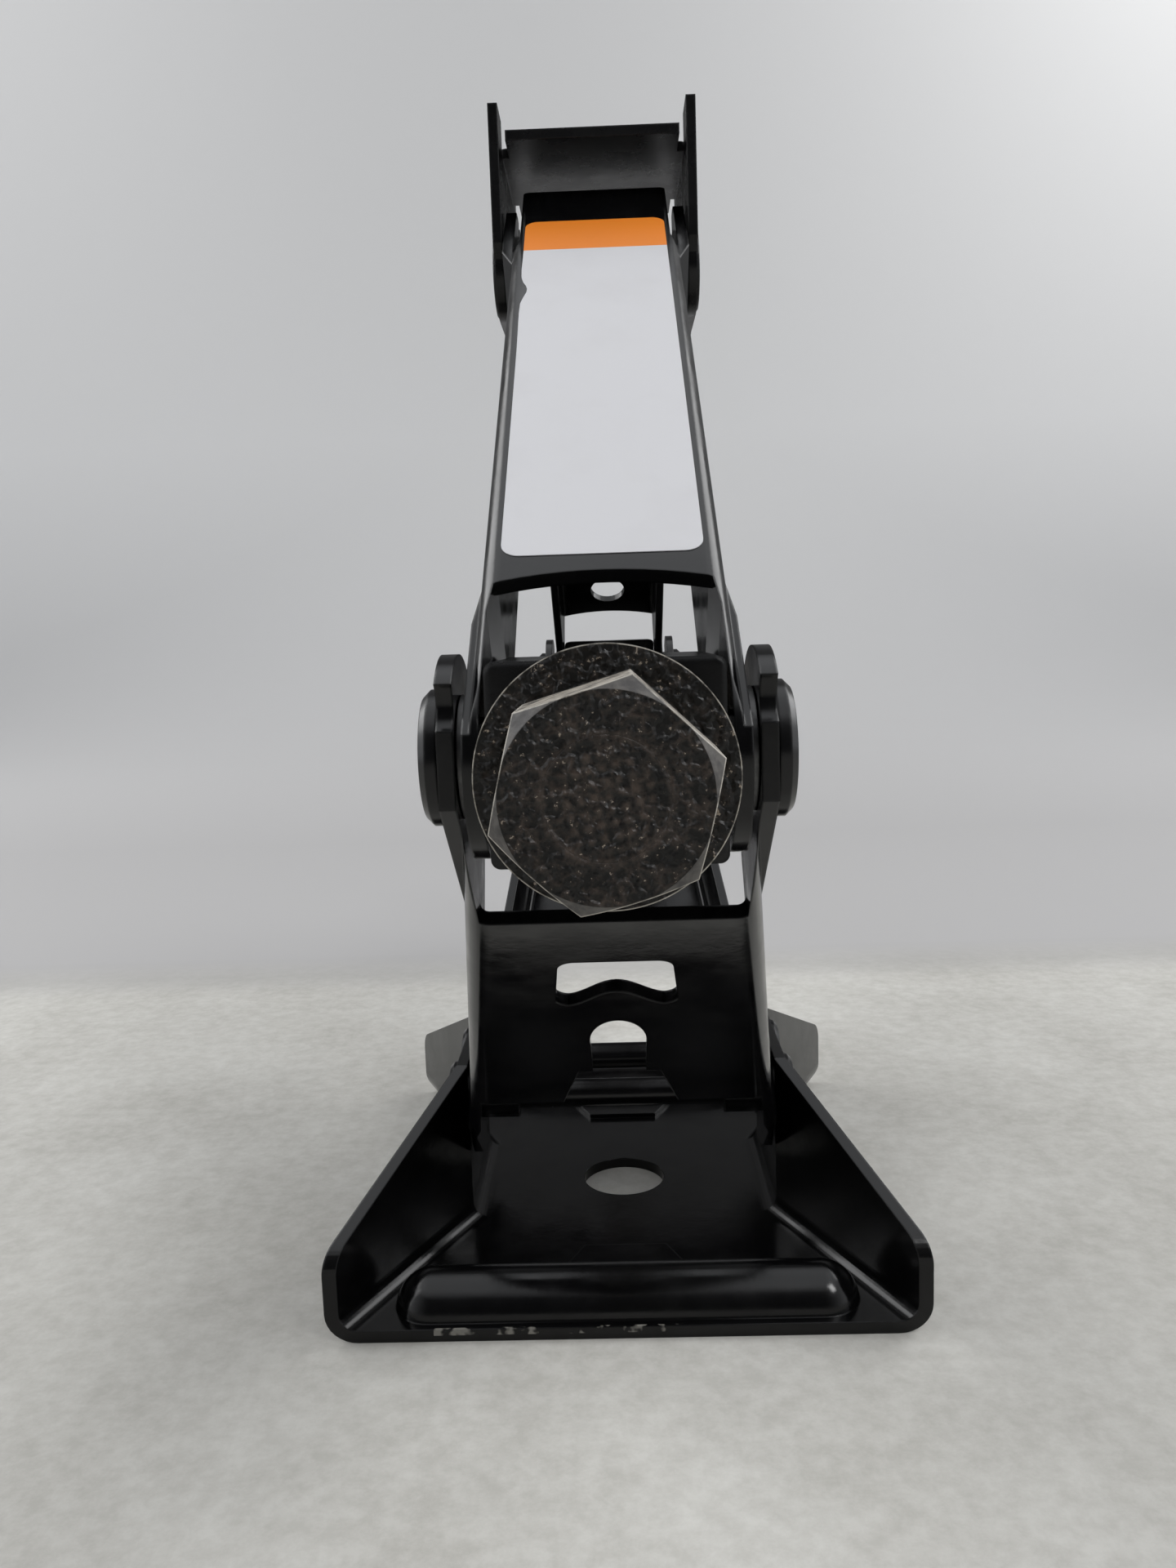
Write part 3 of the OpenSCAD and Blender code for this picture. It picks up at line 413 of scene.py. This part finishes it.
def build_sticker(name, low, high, material, low_round=False, high_round=False, lifted=False):
    """A thin film on the web of the front upper arm, from low to high along it."""
    mesh = bmesh.new()
    outline = sticker_outline(low, high, low_round, high_round, lifted)
    base = mesh.faces.new([mesh.verts.new((x, y, STICKER_GAP)) for x, y in outline])
    grown = bmesh.ops.extrude_face_region(mesh, geom=[base])
    bmesh.ops.translate(mesh, vec=(0, 0, STICKER_THICK),
                        verts=[v for v in grown["geom"] if isinstance(v, bmesh.types.BMVert)])
    # X runs across the arm, Y along it and Z out of its web.
    on_arm = (Matrix.Translation((0, SCREW_Y, SCREW_Z)) @ Matrix.Rotation(ARM_ANGLE, 4, "X")
              @ Matrix.Translation((0, 0, ARM_FACE)))
    bmesh.ops.transform(mesh, matrix=on_arm, verts=mesh.verts)
    finished(mesh, name, material, "upper_arm_front")


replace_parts(build_screw(), "lead_screw")
build_screw_end()
build_sticker("sticker_white", 24.4, 124.6, vinyl_white, low_round=True, lifted=True)
build_sticker("sticker_orange", 124.6, 138.3, vinyl_orange, high_round=True)


# Stage, camera and light, in metres.

def pale_floor():
    """Smooth pale concrete with a faint fine mottle, running up into a light backdrop with painted light
    falloff.
    """
    material, tree, shader, place = start("pale_concrete_floor")
    y = add(tree, "SeparateXYZ", (place,), "Y")
    clouds = add(tree, "MapRange", (add(tree, "TexNoise", {
        "Vector": place, "Scale": per_mm(55), "Detail": 6, "Roughness": 0.62}), 0.36, 0.64))
    sand = add(tree, "MapRange", (add(tree, "TexNoise", {
        "Vector": place, "Scale": per_mm(5), "Detail": 8, "Roughness": 0.72}), 0.38, 0.62))
    mottle = add(tree, "Math", (sand, 0.5, add(tree, "Math", (clouds, 0.5), **TIMES)), **TIMES_PLUS)
    concrete = add(tree, "Mix", {0: mottle, 6: linear("#a9a7a1"), 7: linear("#c4c3be")}, **COLOUR)
    # Painted light falloff: the backdrop is painted darker near the floor and lighter up the wall.
    backdrop_painted_falloff = add(tree, "Mix", {0: add(tree, "MapRange", (y, 0.5, 2.4)),
                              6: linear("#a6a5a5"), 7: linear("#e4e4e4")}, **COLOUR)
    tone = add(tree, "Mix", {0: add(tree, "MapRange", (y, 0.17, 0.215)), 6: concrete, 7: backdrop_painted_falloff}, **COLOUR)
    # A faint darker seam where the concrete ends.
    from_seam = add(tree, "Math", (add(tree, "Math", (y, -0.19), **PLUS),), **DISTANCE)
    seam = add(tree, "MapRange", (from_seam, 0.0, 0.03, 0.35, 0.0))
    tone = add(tree, "Mix", {0: seam, 6: tone, 7: linear("#8f8d8a")}, **COLOUR)
    # The wall looks darker in mirror images, as a room beyond a lit table does.
    mirrored = add(tree, "LightPath", out="Is Glossy Ray")
    dim = add(tree, "Math", (mirrored, add(tree, "MapRange", (y, 1.0, 1.7, 0.0, 0.8))), **TIMES)
    tone = add(tree, "Mix", {0: dim, 6: tone, 7: linear("#202020")}, **COLOUR)
    feed(tree, shader, {"Base Color": tone, "Roughness": 0.8})
    return material


def build_stage():
    """A floor that sweeps up into a wall behind the jack."""
    half, wall, bend_r = 3.0, 4.0, 2.0
    mesh = bmesh.new()
    bmesh.ops.create_grid(mesh, x_segments=1, y_segments=1, size=half)
    far = [e for e in mesh.edges if all(v.co.y > 0 for v in e.verts)]
    grown = bmesh.ops.extrude_edge_only(mesh, edges=far)
    bmesh.ops.translate(mesh, vec=(0, 0, wall),
                        verts=[v for v in grown["geom"] if isinstance(v, bmesh.types.BMVert)])
    bend = [e for e in mesh.edges if all(v.co.y > 0 and v.co.z < wall / 2 for v in e.verts)]
    bmesh.ops.bevel(mesh, geom=bend, affect="EDGES", offset=bend_r, segments=24, profile=0.5, material=-1)
    bmesh.ops.recalc_face_normals(mesh, faces=mesh.faces)
    for face in mesh.faces:
        face.smooth = True
    data = bpy.data.meshes.new("studio_floor")
    mesh.to_mesh(data)
    mesh.free()
    floor = bpy.data.objects.new("studio_floor", data)
    bpy.context.scene.collection.objects.link(floor)
    data.materials.append(pale_floor())


PICTURE_HEIGHT = 1920
FOCAL_PIXELS = 1438.05
SENSOR_MM = 36
CAMERA_PLACE = (0.996, -277.693, 137.216)
CAMERA_TURNS = (-1.393, 7.399, 1.892)


def build_camera():
    """The camera fitted to the photograph: yaw, pitch down and roll in degrees, place in millimetres."""
    yaw, pitch, roll = (math.radians(a) for a in CAMERA_TURNS)
    forward = Vector((math.sin(yaw) * math.cos(pitch), math.cos(yaw) * math.cos(pitch), -math.sin(pitch)))
    right = Vector((math.cos(yaw), -math.sin(yaw), 0))
    down = forward.cross(right)
    rolled_right = right * math.cos(roll) + down * math.sin(roll)
    rolled_down = down * math.cos(roll) - right * math.sin(roll)
    place = Matrix((rolled_right, -rolled_down, -forward)).transposed().to_4x4()
    place.translation = Vector(CAMERA_PLACE) * MM
    data = bpy.data.cameras.new("camera")
    data.sensor_width = SENSOR_MM
    data.sensor_fit = "AUTO"
    data.lens = FOCAL_PIXELS / PICTURE_HEIGHT * SENSOR_MM
    data.clip_start = 0.01
    camera = bpy.data.objects.new("camera", data)
    camera.matrix_world = place
    bpy.context.scene.collection.objects.link(camera)
    bpy.context.scene.camera = camera


def build_lamp(name, place, target, size, power):
    """A rectangular area lamp at place, turned to target, in metres and watts."""
    data = bpy.data.lights.new(name, "AREA")
    data.shape = "RECTANGLE"
    data.size, data.size_y = size
    data.energy = power
    lamp = bpy.data.objects.new(name, data)
    towards = (Vector(target) - Vector(place)).to_track_quat("-Z", "Y")
    lamp.matrix_world = Matrix.Translation(place) @ towards.to_matrix().to_4x4()
    bpy.context.scene.collection.objects.link(lamp)


def build_world():
    """Soft room light, brighter from both sides, with a pale ceiling that gloss shows."""
    world = bpy.data.worlds.new("studio")
    world.use_nodes = True
    tree = world.node_tree
    x, y, z = add(tree, "SeparateXYZ", (add(tree, "TexCoord", out="Generated"),)).node.outputs
    sides = add(tree, "MapRange", (add(tree, "Math", (x,), **DISTANCE), 0.2, 0.85, 0.2, 1.4))
    front = add(tree, "MapRange", (y, -0.95, -0.2, 0.3, 1.0))
    mirrored = add(tree, "LightPath", out="Is Glossy Ray")
    ceiling = add(tree, "Math", (mirrored, add(tree, "MapRange", (z, 0.72, 0.92, 0.0, 1.3))), **TIMES)
    lit = add(tree, "Math", (sides, front, ceiling), **TIMES_PLUS)
    # Past the edge of the backdrop the camera sees the same pale grey.
    seen = add(tree, "LightPath", out="Is Camera Ray")
    strength = add(tree, "Mix", {0: seen, 2: lit, 3: 0.55})
    feed(tree, tree.nodes["Background"], {"Color": linear("#eef0f3"), "Strength": strength})
    bpy.context.scene.world = world


build_stage()
build_camera()
build_lamp("window_left", (-1.0, 0.5, 0.9), (0, 0, 0.1), (0.9, 0.9), 7)
build_lamp("window_right", (1.0, 0.5, 0.9), (0, 0, 0.1), (0.9, 0.9), 7)
build_lamp("soft_left", (-1.2, -0.3, 0.8), (0, 0, 0.12), (0.35, 1.2), 3)
build_lamp("key_right", (0.7, -0.75, 1.15), (0, -0.1, 0.12), (0.35, 0.5), 7)
build_lamp("backdrop_right", (2.0, 1.6, 2.6), (1.8, 3.0, 2.3), (1.0, 1.0), 26)
build_lamp("backdrop_left", (-2.0, 1.4, 2.4), (-1.6, 3.0, 2.2), (1.0, 1.0), 12)
build_world()
bpy.context.scene.view_settings.view_transform = "Standard"
